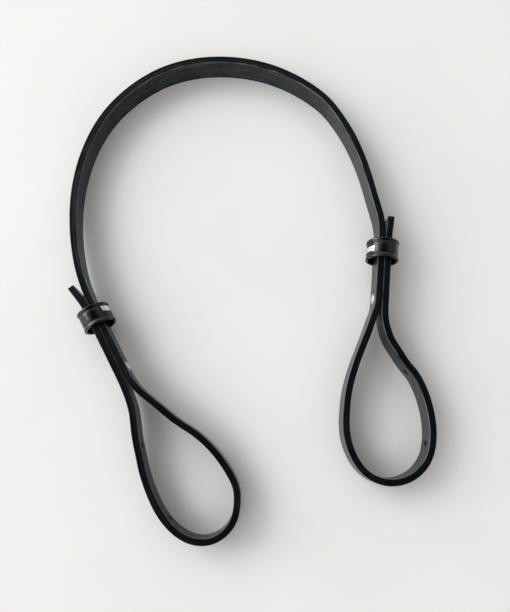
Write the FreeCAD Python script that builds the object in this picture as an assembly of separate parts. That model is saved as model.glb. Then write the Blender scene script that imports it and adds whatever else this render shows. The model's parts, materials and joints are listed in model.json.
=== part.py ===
import FreeCAD, Part
import math
import os

from FreeCAD import Vector

# Narrow two-ply leather strap that stands on its edge in a wide arch. Each end is folded back into a
# teardrop loop, a round keeper holds the folded tail beside the strap, and a screw stud closes the loop.
# Millimetres, +Z up, +Y towards the crown of the arch, origin at the middle of the footprint.

# Strap section
STRAP_WIDTH = 11.0
LEATHER = 1.5
PAIR_GAP = 0.1                      # air between the two strands where the strap lies doubled
STRAND_OFFSET = LEATHER + PAIR_GAP / 2
PAIR_HALF = STRAND_OFFSET + LEATHER

# Keepers: round leather bands closed by a metal staple
KEEPER_OUTER_R = 7.6
KEEPER_WALL = 1.15
KEEPER_LENGTH = 9.0
KEEPER_BORE_R = KEEPER_OUTER_R - KEEPER_WALL
CREASE_INSET = 1.7                  # from each rim to the pressed crease
CREASE_DEPTH = 0.25
SLIT_WIDTH = 0.5
STAPLE_LENGTH = 2.4                 # along the band's axis
STAPLE_THICK = 0.4
STAPLE_MIDDLE = 12.0                # degrees above level, on the side that faces into the arch
STAPLE_HALF_SPAN = 37.0             # degrees
STAPLE_LEG = 0.9
STAPLE_SHRINK = 0.02                # so that the staple drops into its seat
LEFT_STAPLE_AT = 1.2                # from the middle of the band towards the arch
RIGHT_STAPLE_AT = -0.4

# The strap is carried this high where it passes through the keepers, and lies on its edge elsewhere
LIFT = 2.05
LEVEL_LOOP_SIDE = 31.0
LEVEL_ARCH_SIDE = 12.0
KEEPER_TO_ARCH = 6.5                # straight strap on the arch side of each keeper's middle
RAMP_LOOP_SIDE = 64.0
RAMP_ARCH_SIDE = 74.0

# Screw studs, tail rivet and punched holes
STUD_HEAD_R = 2.4
STUD_HEAD_H = 0.85
BARREL_R = 1.5
BARREL_BORE_R = 1.0
SCREW_R = 0.95
HOLE_R = 1.25
HOLE_PITCH = 35.5
SLOT_WIDTH = 0.5
SLOT_DEPTH = 0.4
HEAD_THROUGH = 0.8                  # solid metal between the post's head and its bore
BARREL_SHORT = 0.3                  # barrel end short of the far leather face
SCREW_SHORT = 1.4                   # shank end short of the far leather face
RIVET_HEAD_R = 1.6
RIVET_HEAD_H = 0.6
RIVET_SHANK_R = 0.8
RIVET_FROM_END = 5.6
CLEARANCE = 0.05

# Keeper axes: point in plan and heading towards the loop
LEFT_KEEPER = (-69.0, -16.0, -62.5)
RIGHT_KEEPER = (63.5, 16.0, -95.0)
LEFT_STUD_AT = 26.5
RIGHT_STUD_AT = 23.0

# Straight runs from each keeper's middle to the start of the loop, on the arch strand and the tail strand
LEFT_ARCH_RUN = 29.0
LEFT_TAIL_RUN = 29.0
RIGHT_ARCH_RUN = 25.5
RIGHT_TAIL_RUN = 29.0

# Stations of the strap's middle line in plan: x, y and heading, joined by pairs of tangent arcs
LEFT_LOOP = [
    (-52.0, -53.5, -69.0),
    (-48.0, -74.0, -77.0),
    (-44.0, -89.5, -70.0),
    (-36.5, -104.5, -54.0),
    (-19.5, -115.0, -2.0),
    (-7.0, -108.5, 54.0),
    (-4.0, -96.0, 90.0),
    (-9.5, -82.5, 124.0),
    (-19.0, -71.5, 138.0),
    (-35.0, -60.0, 140.0),
]
ARCH = [
    (-81.0, 33.5, 92.5),
    (-72.5, 76.0, 64.0),
    (-48.0, 103.0, 33.0),
    (-17.5, 112.5, 3.0),
    (13.0, 108.0, -20.5),
    (28.5, 100.0, -33.5),
    (41.5, 88.0, -55.0),
    (52.0, 68.5, -69.0),
    (58.5, 46.5, -77.5),
]
RIGHT_LOOP = [
    (57.0, -17.0, -110.0),
    (46.5, -45.0, -106.0),
    (44.0, -62.5, -93.0),
    (49.0, -82.0, -57.0),
    (63.5, -90.0, 0.0),
    (77.5, -83.5, 49.0),
    (82.5, -66.0, 92.0),
    (77.5, -45.5, 115.0),
    (69.5, -34.0, 119.0),
    (64.0, -24.0, 107.0),
]

# Free tails beyond the keepers: straight stretch, radius and degrees of the turn outwards, straight end
LEFT_TAIL = (4.6, 22.0, 11.0, 8.3)
RIGHT_TAIL = (5.0, 50.0, -4.0, 7.2)


def direction(heading):
    angle = math.radians(heading)
    return Vector(math.cos(angle), math.sin(angle), 0)


def left_of(heading):
    return direction(heading + 90)


def on_keeper_axis(keeper, along, side=0.0):
    """Plan point at a distance along a keeper's axis, stepped to the left of its heading."""
    x, y, heading = keeper
    return Vector(x, y, 0) + direction(heading) * along + left_of(heading) * side


def arc_element(start, heading, end):
    """One path element (start, heading, curvature, length) leaving start along heading, through end."""
    chord = end - start
    ahead = chord.dot(direction(heading))
    aside = chord.dot(left_of(heading))
    turn = 2 * math.atan2(aside, ahead)
    if abs(turn) < 1e-6:
        return (start, heading, 0.0, chord.Length)
    radius = chord.Length / 2 / math.sin(turn / 2)
    return (start, heading, 1 / radius, radius * turn)


def biarc(first, second):
    """Two tangent arcs between stations given as (point, heading)."""
    (p0, h0), (p1, h1) = first, second
    t0, t1 = direction(h0), direction(h1)
    chord = p1 - p0
    both = chord.dot(t0 + t1)
    bend = 2 * (1 - t0.dot(t1))
    if bend < 1e-9:
        reach = chord.dot(chord) / (2 * both)
    else:
        reach = (math.sqrt(both * both + bend * chord.dot(chord)) - both) / bend
    middle = (p0 + t0 * reach + p1 - t1 * reach) * 0.5
    one = arc_element(p0, h0, middle)
    two = arc_element(middle, h0 + math.degrees(one[2] * one[3]), p1)
    return [one, two]


def point_on(element, along, side):
    """Point at a distance along one element, stepped to the left of the path."""
    start, heading, curvature, _ = element
    turned = heading + math.degrees(curvature * along)
    if curvature == 0:
        centre_line = start + direction(heading) * along
    else:
        centre_line = start + (left_of(heading) - left_of(turned)) * (1 / curvature)
    return centre_line + left_of(turned) * side


def at_length(path, along):
    """Element and distance within it for a distance along the whole path."""
    for element in path:
        if along <= element[3]:
            return element, along
        along -= element[3]
    return path[-1], path[-1][3]


def station(path, along):
    """Plan point and heading at a distance along the whole path."""
    element, rest = at_length(path, along)
    return point_on(element, rest, 0), element[1] + math.degrees(element[2] * rest)


def stations_of(table):
    return [(Vector(x, y, 0), heading) for x, y, heading in table]


def tail_elements(keeper, side, tail):
    """The free tail as travelled from the keeper outwards, listed back to front for either end."""
    straight, radius, turn, end = tail
    start = on_keeper_axis(keeper, 0, side)
    outwards = keeper[2] + 180
    run = (start, outwards, 0.0, straight)
    turned = math.radians(abs(turn)) * radius
    bend = (point_on(run, straight, 0), outwards, math.copysign(1 / radius, turn), turned)
    tip = (point_on(bend, turned, 0), outwards + turn, 0.0, end)
    return [run, bend, tip]


def tail_length(tail):
    straight, radius, turn, end = tail
    return straight + math.radians(abs(turn)) * radius + end


def reverse(elements):
    """The same elements travelled the other way."""
    turned = []
    for element in reversed(elements):
        end = point_on(element, element[3], 0)
        heading = element[1] + math.degrees(element[2] * element[3]) + 180
        turned.append((end, heading, -element[2], element[3]))
    return turned


def strap_path():
    """The whole middle line, tail to tail, and its length up to each keeper."""
    tail_in = reverse(tail_elements(LEFT_KEEPER, -STRAND_OFFSET, LEFT_TAIL))
    tail_out = tail_elements(RIGHT_KEEPER, STRAND_OFFSET, RIGHT_TAIL)
    down, up = LEFT_KEEPER[2], LEFT_KEEPER[2] + 180
    fall, rise = RIGHT_KEEPER[2], RIGHT_KEEPER[2] + 180
    stops = [
        (on_keeper_axis(LEFT_KEEPER, 0, -STRAND_OFFSET), down),
        (on_keeper_axis(LEFT_KEEPER, LEFT_TAIL_RUN, -STRAND_OFFSET), down),
        *stations_of(LEFT_LOOP),
        (on_keeper_axis(LEFT_KEEPER, LEFT_ARCH_RUN, STRAND_OFFSET), up),
        (on_keeper_axis(LEFT_KEEPER, -KEEPER_TO_ARCH, STRAND_OFFSET), up),
        *stations_of(ARCH),
        (on_keeper_axis(RIGHT_KEEPER, -KEEPER_TO_ARCH, -STRAND_OFFSET), fall),
        (on_keeper_axis(RIGHT_KEEPER, RIGHT_ARCH_RUN, -STRAND_OFFSET), fall),
        *stations_of(RIGHT_LOOP),
        (on_keeper_axis(RIGHT_KEEPER, RIGHT_TAIL_RUN, STRAND_OFFSET), rise),
        (on_keeper_axis(RIGHT_KEEPER, 0, STRAND_OFFSET), rise),
    ]
    middle = []
    for first, second in zip(stops, stops[1:]):
        middle += biarc(first, second)
    return tail_in + middle + tail_out


def ribbon_face(path, low, high):
    """Plan face between two offsets of the path."""
    edges = []
    for element in path:
        edges.append(offset_edge(element, low))
    end = path[-1]
    edges.append(Part.LineSegment(point_on(end, end[3], low), point_on(end, end[3], high)).toShape())
    for element in reversed(path):
        edges.append(offset_edge(element, high))
    start = path[0]
    edges.append(Part.LineSegment(point_on(start, 0, high), point_on(start, 0, low)).toShape())
    return Part.Face(Part.Wire(edges))


def offset_edge(element, side):
    length = element[3]
    first, last = point_on(element, 0, side), point_on(element, length, side)
    if element[2] == 0:
        return Part.LineSegment(first, last).toShape()
    return Part.Arc(first, point_on(element, length / 2, side), last).toShape()


def towards_arch():
    """Unit plan vector square to the line through the two keepers, pointing at the crown of the arch."""
    line = on_keeper_axis(RIGHT_KEEPER, 0) - on_keeper_axis(LEFT_KEEPER, 0)
    line.normalize()
    return Vector(-line.y, line.x, 0)


def reach_of(point):
    """Signed distance of a plan point from the line through the keepers."""
    return (point - on_keeper_axis(LEFT_KEEPER, 0)).dot(towards_arch())


def ramp_down(start, run, rise):
    """Profile points (reach, height) of an S-shaped ramp made of two equal arcs."""
    radius = (run * run + rise * rise) / (4 * rise)
    sign = math.copysign(1, start[0])
    half = math.asin(run / 2 / radius)
    points = []
    for share in (0.5, 1.0):
        across = radius * math.sin(half * share)
        points.append((start[0] + sign * across, start[1] - radius * (1 - math.cos(half * share))))
    for share in (0.5, 0.0):
        across = run - radius * math.sin(half * share)
        drop = rise - radius * (1 - math.cos(half * share))
        points.append((start[0] + sign * across, start[1] - drop))
    return points


def lift_at(point):
    """Height of the strap's lower edge above the surface at a plan point."""
    reach = reach_of(point)
    level, run = (LEVEL_ARCH_SIDE, RAMP_ARCH_SIDE) if reach > 0 else (LEVEL_LOOP_SIDE, RAMP_LOOP_SIDE)
    past = min(max(abs(reach) - level, 0), run)
    radius = (run * run + LIFT * LIFT) / (4 * LIFT)
    if past <= run / 2:
        return LIFT - radius + math.sqrt(radius * radius - past * past)
    return radius - math.sqrt(radius * radius - (run - past) ** 2)


def height_band():
    """Gently humped slab, one strap width thick, that the upright strap is trimmed to."""
    far, half_line = 200.0, 250.0
    up = Vector(0, 0, 1)
    arch_way = towards_arch()
    line_way = Vector(arch_way.y, -arch_way.x, 0)
    base = on_keeper_axis(LEFT_KEEPER, 0) - line_way * half_line

    def place(pair):
        return base + arch_way * pair[0] + up * pair[1]

    loop_side = ramp_down((-LEVEL_LOOP_SIDE, LIFT), RAMP_LOOP_SIDE, LIFT)
    arch_side = ramp_down((LEVEL_ARCH_SIDE, LIFT), RAMP_ARCH_SIDE, LIFT)
    lower = []
    lower.append(Part.LineSegment(place((-far, 0)), place(loop_side[3])).toShape())
    lower.append(Part.Arc(place(loop_side[3]), place(loop_side[2]), place(loop_side[1])).toShape())
    lower.append(Part.Arc(place(loop_side[1]), place(loop_side[0]), place((-LEVEL_LOOP_SIDE, LIFT))).toShape())
    lower.append(Part.LineSegment(place((-LEVEL_LOOP_SIDE, LIFT)), place((LEVEL_ARCH_SIDE, LIFT))).toShape())
    lower.append(Part.Arc(place((LEVEL_ARCH_SIDE, LIFT)), place(arch_side[0]), place(arch_side[1])).toShape())
    lower.append(Part.Arc(place(arch_side[1]), place(arch_side[2]), place(arch_side[3])).toShape())
    lower.append(Part.LineSegment(place(arch_side[3]), place((far, 0))).toShape())
    shell = Part.Wire(lower).extrude(line_way * 2 * half_line)
    solids = [face.extrude(up * STRAP_WIDTH) for face in shell.Faces]
    return solids[0].fuse(solids[1:]).removeSplitter()


def drill(point, heading, radius, length):
    """Level round cutter through the strap, centred on its width."""
    across = left_of(heading)
    middle = Vector(point.x, point.y, lift_at(point) + STRAP_WIDTH / 2)
    return Part.makeCylinder(radius, length, middle - across * (length / 2), across)


def stud_frame(keeper, along):
    point = on_keeper_axis(keeper, along)
    middle = Vector(point.x, point.y, LIFT + STRAP_WIDTH / 2)
    return middle, left_of(keeper[2])


def turned(head_radius, head_height, corners):
    """Piece turned about +Z: a domed head above its seat at z = 0, then (radius, height) corners below it."""
    ball = (head_radius ** 2 + head_height ** 2) / (2 * head_height)
    half = math.asin(head_radius / ball) / 2
    shoulder = Vector(ball * math.sin(half), 0, head_height - ball * (1 - math.cos(half)))
    stops = [Vector(head_radius, 0, 0), *(Vector(radius, 0, height) for radius, height in corners)]
    stops.append(Vector(0, 0, head_height))
    outline = [Part.Arc(stops[-1], shoulder, stops[0]).toShape()]
    for first, second in zip(stops, stops[1:]):
        outline.append(Part.LineSegment(first, second).toShape())
    return Part.Face(Part.Wire(outline)).revolve(Vector(0, 0, 0), Vector(0, 0, 1), 360)


def stand_on(piece, seat, axis):
    """Place a turned piece with its seat at a point and its head towards an axis."""
    piece.Placement = FreeCAD.Placement(seat, FreeCAD.Rotation(Vector(0, 0, 1), axis))
    return piece


def stud_post(keeper, along, outside):
    """Barrel with a domed head; outside is the side (+1 left, -1 right) that its head lies on."""
    middle, across = stud_frame(keeper, along)
    barrel_end = BARREL_SHORT - 2 * PAIR_HALF
    corners = [(BARREL_R, 0), (BARREL_R, barrel_end), (BARREL_BORE_R, barrel_end)]
    corners += [(BARREL_BORE_R, -HEAD_THROUGH), (0, -HEAD_THROUGH)]
    post = turned(STUD_HEAD_R, STUD_HEAD_H, corners)
    return stand_on(post, middle + across * outside * PAIR_HALF, across * outside)


def stud_screw(keeper, along, outside):
    """Slotted screw that turns in the barrel; its head lies on the side opposite the post's head."""
    middle, across = stud_frame(keeper, along)
    shank_end = SCREW_SHORT - 2 * PAIR_HALF
    screw = turned(STUD_HEAD_R, STUD_HEAD_H, [(SCREW_R, 0), (SCREW_R, shank_end), (0, shank_end)])
    slot = Part.makeBox(4 * STUD_HEAD_R, SLOT_WIDTH, 2 * SLOT_DEPTH)
    slot.translate(Vector(-2 * STUD_HEAD_R, -SLOT_WIDTH / 2, STUD_HEAD_H - SLOT_DEPTH))
    return stand_on(screw.cut(slot), middle - across * outside * (PAIR_HALF + CLEARANCE), across * -outside)


def rivet(path):
    """The small rivet near the left tail's end: its post and the cap clenched on the post's tip."""
    point, heading = station(path, RIVET_FROM_END)
    middle = Vector(point.x, point.y, lift_at(point) + STRAP_WIDTH / 2)
    across = left_of(heading)
    socket = RIVET_HEAD_H / 2
    tip = -2 * LEATHER - socket
    post = turned(RIVET_HEAD_R, RIVET_HEAD_H, [(RIVET_SHANK_R, 0), (RIVET_SHANK_R, tip), (0, tip)])
    cap = turned(RIVET_HEAD_R, RIVET_HEAD_H, [(RIVET_SHANK_R, 0), (RIVET_SHANK_R, socket), (0, socket)])
    return stand_on(post, middle - across * LEATHER, across * -1), stand_on(cap, middle + across * LEATHER, across)


def keeper_band(staple_at):
    """Tube with a pressed crease near each rim, slit where its two ends meet, lying along +Z at the origin."""
    half = KEEPER_LENGTH / 2
    band = Part.makeCylinder(KEEPER_OUTER_R, KEEPER_LENGTH, Vector(0, 0, -half))
    band = band.makeFillet(0.4, [band.Edges[0], band.Edges[2]])
    band = band.cut(Part.makeCylinder(KEEPER_BORE_R, 2 * KEEPER_LENGTH, Vector(0, 0, -KEEPER_LENGTH)))
    for height in (-half + CREASE_INSET, half - CREASE_INSET):
        band = band.cut(Part.makeTorus(KEEPER_OUTER_R, CREASE_DEPTH, Vector(0, 0, height)))
    slit = Part.makeBox(KEEPER_OUTER_R + 1, SLIT_WIDTH, 2 * KEEPER_LENGTH)
    slit.translate(Vector(0, -SLIT_WIDTH / 2, -KEEPER_LENGTH))
    band = band.cut(slit)
    return band.cut(staple_blank(0.0, staple_at))


def staple_blank(shrink, staple_at):
    """Bowed plate with two legs on the +X side: the staple, or the seat it fills when shrink is 0."""
    outer = KEEPER_OUTER_R + 0.1
    inner = outer - STAPLE_THICK
    length = STAPLE_LENGTH - 2 * shrink
    plate = Part.makeCylinder(outer, length, Vector(0, 0, -length / 2), Vector(0, 0, 1), 2 * STAPLE_HALF_SPAN)
    plate.rotate(Vector(0, 0, 0), Vector(0, 0, 1), -STAPLE_HALF_SPAN)
    plate = plate.cut(Part.makeCylinder(inner, 2 * length, Vector(0, 0, -length)))
    legs = []
    for side in (-1, 1):
        leg = Part.makeBox(STAPLE_LEG, STAPLE_THICK, length - 0.6)
        leg.translate(Vector(inner - STAPLE_LEG + 0.3, -STAPLE_THICK / 2, -(length - 0.6) / 2))
        leg.rotate(Vector(0, 0, 0), Vector(0, 0, 1), side * (STAPLE_HALF_SPAN - 4))
        legs.append(leg)
    staple = plate.fuse(legs)
    staple.translate(Vector(0, 0, staple_at))
    return staple


def seat_on_keeper(shape, keeper, inner_side):
    """Lay a piece made along +Z onto a keeper's axis, its +X turned to the side facing into the arch."""
    x, y, heading = keeper
    along = direction(heading) * inner_side
    into_arch = left_of(heading) * inner_side
    tilt = math.radians(STAPLE_MIDDLE)
    out = into_arch * math.cos(tilt) + Vector(0, 0, 1) * math.sin(tilt)
    third = along.cross(out)
    frame = FreeCAD.Matrix(
        out.x, third.x, along.x, x,
        out.y, third.y, along.y, y,
        out.z, third.z, along.z, KEEPER_OUTER_R,
        0, 0, 0, 1,
    )
    copy = shape.copy()
    copy.Placement = FreeCAD.Placement(frame).multiply(copy.Placement)
    return copy


def strap_layers(path):
    """The two leathers, trimmed to height and punched."""
    band = height_band()
    cutters = []
    total = sum(element[3] for element in path)
    left_stud = tail_length(LEFT_TAIL) + LEFT_STUD_AT
    right_stud = total - tail_length(RIGHT_TAIL) - RIGHT_STUD_AT
    for step in (1, 2):
        cutters.append(drill(*station(path, left_stud + step * HOLE_PITCH), HOLE_R, 3 * LEATHER))
        cutters.append(drill(*station(path, right_stud - step * HOLE_PITCH), HOLE_R, 3 * LEATHER))
    cutters.append(drill(*station(path, total - RIVET_FROM_END), HOLE_R, 3 * LEATHER))
    cutters.append(drill(*station(path, RIVET_FROM_END), RIVET_SHANK_R + CLEARANCE, 3 * LEATHER))
    for keeper, along in ((LEFT_KEEPER, LEFT_STUD_AT), (RIGHT_KEEPER, RIGHT_STUD_AT)):
        middle, across = stud_frame(keeper, along)
        radius = BARREL_R + CLEARANCE
        cutters.append(Part.makeCylinder(radius, 4 * PAIR_HALF, middle - across * 2 * PAIR_HALF, across))
    layers = {}
    for name, low, high in (("face_leather", -LEATHER, 0), ("backing_leather", 0, LEATHER)):
        wall = ribbon_face(path, low, high).extrude(Vector(0, 0, LIFT + STRAP_WIDTH + 1))
        layers[name] = wall.common(band).cut(cutters)
    return layers


def build():
    path = strap_path()
    parts = strap_layers(path)
    ends = (("left", LEFT_KEEPER, 1, LEFT_STAPLE_AT), ("right", RIGHT_KEEPER, -1, RIGHT_STAPLE_AT))
    for side, keeper, inner, staple_at in ends:
        height = -inner * staple_at
        parts[f"keeper_{side}_band"] = seat_on_keeper(keeper_band(height), keeper, inner)
        parts[f"keeper_{side}_staple"] = seat_on_keeper(staple_blank(STAPLE_SHRINK, height), keeper, inner)
    parts["stud_left_post"] = stud_post(LEFT_KEEPER, LEFT_STUD_AT, 1)
    parts["stud_left_screw"] = stud_screw(LEFT_KEEPER, LEFT_STUD_AT, 1)
    parts["stud_right_post"] = stud_post(RIGHT_KEEPER, RIGHT_STUD_AT, -1)
    parts["stud_right_screw"] = stud_screw(RIGHT_KEEPER, RIGHT_STUD_AT, -1)
    parts["tail_rivet_post"], parts["tail_rivet_cap"] = rivet(path)
    return path, parts


def centre_on_origin(parts):
    """Move everything so that the footprint's middle is the origin."""
    box = FreeCAD.BoundBox()
    for shape in parts.values():
        box.add(shape.optimalBoundingBox())
    shift = Vector(-box.Center.x, -box.Center.y, 0)
    for shape in parts.values():
        shape.translate(shift)
    return shift, box


os.makedirs("parts", exist_ok=True)
strap, pieces = build()
offset, size = centre_on_origin(pieces)
for node, shape in pieces.items():
    solids = shape.Solids
    print(node, len(solids), shape.isValid(), round(shape.Volume, 2))
    shape.exportStep(f"parts/{node}.step")
print("strap length", round(sum(element[3] for element in strap), 1))
print("tightest bends", sorted(round(1 / abs(e[2]), 1) for e in strap if e[2] != 0)[:8])
print("moved by", round(offset.x, 3), round(offset.y, 3))
print("size", round(size.XLength, 2), round(size.YLength, 2), round(size.ZLength, 2), round(size.ZMin, 4))
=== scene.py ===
import cmath
import json
import math

import bmesh
import bpy
from mathutils import Matrix, Vector


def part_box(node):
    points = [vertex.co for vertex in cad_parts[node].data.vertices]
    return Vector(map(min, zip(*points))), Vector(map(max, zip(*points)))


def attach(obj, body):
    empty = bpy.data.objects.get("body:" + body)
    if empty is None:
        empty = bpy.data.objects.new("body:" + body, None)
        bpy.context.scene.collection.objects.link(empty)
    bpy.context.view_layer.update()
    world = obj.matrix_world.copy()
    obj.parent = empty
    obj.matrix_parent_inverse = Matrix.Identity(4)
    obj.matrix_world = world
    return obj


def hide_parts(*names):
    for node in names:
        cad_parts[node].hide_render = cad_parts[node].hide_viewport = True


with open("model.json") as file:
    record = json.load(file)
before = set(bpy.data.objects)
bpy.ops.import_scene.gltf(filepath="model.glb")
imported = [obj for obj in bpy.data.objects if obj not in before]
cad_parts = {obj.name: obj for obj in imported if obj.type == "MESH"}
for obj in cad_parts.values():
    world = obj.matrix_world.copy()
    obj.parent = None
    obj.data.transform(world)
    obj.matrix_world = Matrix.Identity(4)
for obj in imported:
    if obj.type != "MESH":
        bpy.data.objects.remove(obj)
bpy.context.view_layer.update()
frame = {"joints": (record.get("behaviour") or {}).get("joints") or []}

# Narrow two-ply leather strap standing on its edge, each end folded back into a loop that a round leather
# keeper and a screw stud hold. Lengths here are millimetres and are turned to metres where meshes are made.
MM = 0.001

# Strap section
STRAP_WIDTH = 11.0
LEATHER = 1.5
PAIR_GAP = 0.1
STRAND_OFFSET = LEATHER + PAIR_GAP / 2
PAIR_HALF = STRAND_OFFSET + LEATHER
BURNISH = 0.42                      # radius of the burnished outer corners
GLUE_CORNER = 0.07                  # radius of the corners along the glue line
FOOT_SHADE = 1.1                          # height of the painted shade along the lower edge, where the strap stands on the table

# Keepers
KEEPER_LENGTH = 9.0
KEEPER_BORE_R = 6.45
LIP_THICK = 1.15                    # leather thickness at the rolled lips
BAND_THICK = 0.84                   # and between them
LIP_WIDTH = 1.9
LIP_CREASE_HALF = 0.26
LIP_CREASE_DEEP = 0.16
LIP_OUTER_ROUND = 0.45
LIP_INNER_ROUND = 0.25
SLIT_HALF = 2.1                     # degrees each side of the staple's middle
STAPLE_R = 7.27                     # underside of the plate
STAPLE_THICK = 0.3
STAPLE_LENGTH = 2.4
STAPLE_HALF_SPAN = 36.0             # degrees
STAPLE_MIDDLE = 12.0                # degrees above level
STAPLE_TURN_R = 0.35
STAPLE_LEG = 0.5
LEFT_STAPLE_AT = 1.2                # from the middle of the band towards the arch
RIGHT_STAPLE_AT = -0.4

# Studs, rivet and holes
STUD_HEAD_R = 2.4
STUD_HEAD_H = 0.85
STUD_RIM = 0.16                     # height of the head's rounded rim
BARREL_R = 1.5
BARREL_BORE_R = 1.0
BARREL_FLOOR = 0.8                  # depth of the bore's floor under the head
BARREL_SHORT = 0.3                  # the barrel ends this far before the far face of the pair
SCREW_R = 0.95
SHANK_SHORT = 1.4
CLEARANCE = 0.05
SLOT_WIDTH = 0.5
SLOT_DEPTH = 0.42
HOLE_R = 1.25
HOLE_PITCH = 35.5
HOLE_EASE = 0.16                    # radius of the rounded rims of every punched hole
RIVET_HEAD_R = 1.6
RIVET_HEAD_H = 0.6
RIVET_RIM = 0.12
RIVET_SHANK_R = 0.8
RIVET_FROM_END = 5.6

# Keeper axes in plan: x, y and heading in degrees towards the loop; everything below is in the same plan
LEFT_KEEPER = (-69.0, -16.0, -62.5)
RIGHT_KEEPER = (63.5, 16.0, -95.0)
LEFT_STUD_AT = 26.5
RIGHT_STUD_AT = 23.0
LEFT_ARCH_RUN = 29.0
LEFT_TAIL_RUN = 29.0
RIGHT_ARCH_RUN = 25.5
RIGHT_TAIL_RUN = 29.0
KEEPER_TO_ARCH = 6.5
LEFT_TAIL = (4.6, 22.0, 11.0, 8.3)      # straight, bend radius, bend in degrees, straight
RIGHT_TAIL = (5.0, 50.0, -4.0, 7.2)

# The strap is carried this high through the keepers and lies on its edge elsewhere
LIFT = 2.05
LEVEL_LOOP_SIDE = 31.0
LEVEL_ARCH_SIDE = 12.0
RAMP_LOOP_SIDE = 64.0
RAMP_ARCH_SIDE = 74.0

# Stations of the strap's middle line: x, y, heading
LEFT_LOOP = [
    (-52.0, -53.5, -69.0),
    (-48.0, -74.0, -77.0),
    (-44.0, -89.5, -70.0),
    (-36.5, -104.5, -54.0),
    (-19.5, -115.0, -2.0),
    (-7.0, -108.5, 54.0),
    (-4.0, -96.0, 90.0),
    (-9.5, -82.5, 124.0),
    (-19.0, -71.5, 138.0),
    (-35.0, -60.0, 140.0),
]
ARCH = [
    (-81.0, 33.5, 92.5),
    (-72.5, 76.0, 64.0),
    (-48.0, 103.0, 33.0),
    (-17.5, 112.5, 3.0),
    (13.0, 108.0, -20.5),
    (28.5, 100.0, -33.5),
    (41.5, 88.0, -55.0),
    (52.0, 68.5, -69.0),
    (58.5, 46.5, -77.5),
]
RIGHT_LOOP = [
    (57.0, -17.0, -110.0),
    (46.5, -45.0, -106.0),
    (44.0, -62.5, -93.0),
    (49.0, -82.0, -57.0),
    (63.5, -90.0, 0.0),
    (77.5, -83.5, 49.0),
    (82.5, -66.0, 92.0),
    (77.5, -45.5, 115.0),
    (69.5, -34.0, 119.0),
    (64.0, -24.0, 107.0),
]

TABLE_BELOW = 0.03                  # keeps the table clear of the strap's lower edge

# Colours
STRAP_FACE_COLOURS = ((0.003, 0.004, 0.0055, 1), (0.019, 0.023, 0.028, 1))
STRAP_BACKING_COLOURS = ((0.003, 0.0038, 0.005, 1), (0.020, 0.023, 0.027, 1))
EDGE_PAINT = (0.0015, 0.002, 0.0022, 1)
# painted highlight for the burnished corners between edge and face
PAINTED_CORNER_HIGHLIGHT = (0.14, 0.15, 0.16, 1)
KEEPER_COLOURS = ((0.0008, 0.0008, 0.001, 1), (0.0035, 0.0035, 0.004, 1))
NICKEL_COLOURS = ((0.80, 0.79, 0.76, 1), (0.70, 0.685, 0.65, 1))
TABLE_COLOURS = ((0.80, 0.80, 0.79, 1), (0.83, 0.83, 0.82, 1))
DUST_ON_STRAP = (0.16, 0.16, 0.155, 1)
DUST_ON_KEEPER = (0.15, 0.15, 0.145, 1)
DUST_ON_METAL = (0.25, 0.24, 0.22, 1)

# Sampling of the strap's line
STRAP_STEP = 1.0
EASING_PASSES = 6                   # rounds off the small jumps in curvature between arcs


# ---------------------------------------------------------------- the strap's line in plan
# Plan points and directions are complex numbers, x along the real axis.

def direction(heading):
    return cmath.rect(1, math.radians(heading))


def left_of(heading):
    return direction(heading) * 1j


def dot(one, other):
    return (one.conjugate() * other).real


def on_keeper_axis(keeper, along, side=0.0):
    x, y, heading = keeper
    return complex(x, y) + direction(heading) * along + left_of(heading) * side


def arc_element(start, heading, end):
    """One path element (start, heading, curvature, length) leaving start along heading, through end."""
    chord = end - start
    turn = 2 * math.atan2(dot(left_of(heading), chord), dot(direction(heading), chord))
    if abs(turn) < 1e-6:
        return (start, heading, 0.0, abs(chord))
    radius = abs(chord) / 2 / math.sin(turn / 2)
    return (start, heading, 1 / radius, radius * turn)


def biarc(first, second):
    """Two tangent arcs between stations given as (point, heading)."""
    (p0, h0), (p1, h1) = first, second
    t0, t1 = direction(h0), direction(h1)
    chord = p1 - p0
    both = dot(chord, t0 + t1)
    bend = 2 * (1 - dot(t0, t1))
    if bend < 1e-9:
        reach = abs(chord) ** 2 / (2 * both)
    else:
        reach = (math.sqrt(both * both + bend * abs(chord) ** 2) - both) / bend
    middle = (p0 + t0 * reach + p1 - t1 * reach) / 2
    one = arc_element(p0, h0, middle)
    return [one, arc_element(middle, h0 + math.degrees(one[2] * one[3]), p1)]


def point_on(element, along):
    start, heading, curvature, _ = element
    if curvature == 0:
        return start + direction(heading) * along
    turned = heading + math.degrees(curvature * along)
    return start + (left_of(heading) - left_of(turned)) / curvature


def station(path, along):
    """Plan point and heading at a distance along the whole path."""
    index = 0
    while index < len(path) - 1 and along > path[index][3]:
        along -= path[index][3]
        index += 1
    element = path[index]
    return point_on(element, along), element[1] + math.degrees(element[2] * along)


def tail_elements(keeper, side, tail):
    """The free tail as travelled outwards from the keeper."""
    straight, radius, turn, end = tail
    outwards = keeper[2] + 180
    run = (on_keeper_axis(keeper, 0, side), outwards, 0.0, straight)
    length = math.radians(abs(turn)) * radius
    bend = (point_on(run, straight), outwards, math.copysign(1 / radius, turn), length)
    return [run, bend, (point_on(bend, length), outwards + turn, 0.0, end)]


def reverse(elements):
    turned = []
    for element in reversed(elements):
        heading = element[1] + math.degrees(element[2] * element[3]) + 180
        turned.append((point_on(element, element[3]), heading, -element[2], element[3]))
    return turned


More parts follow.
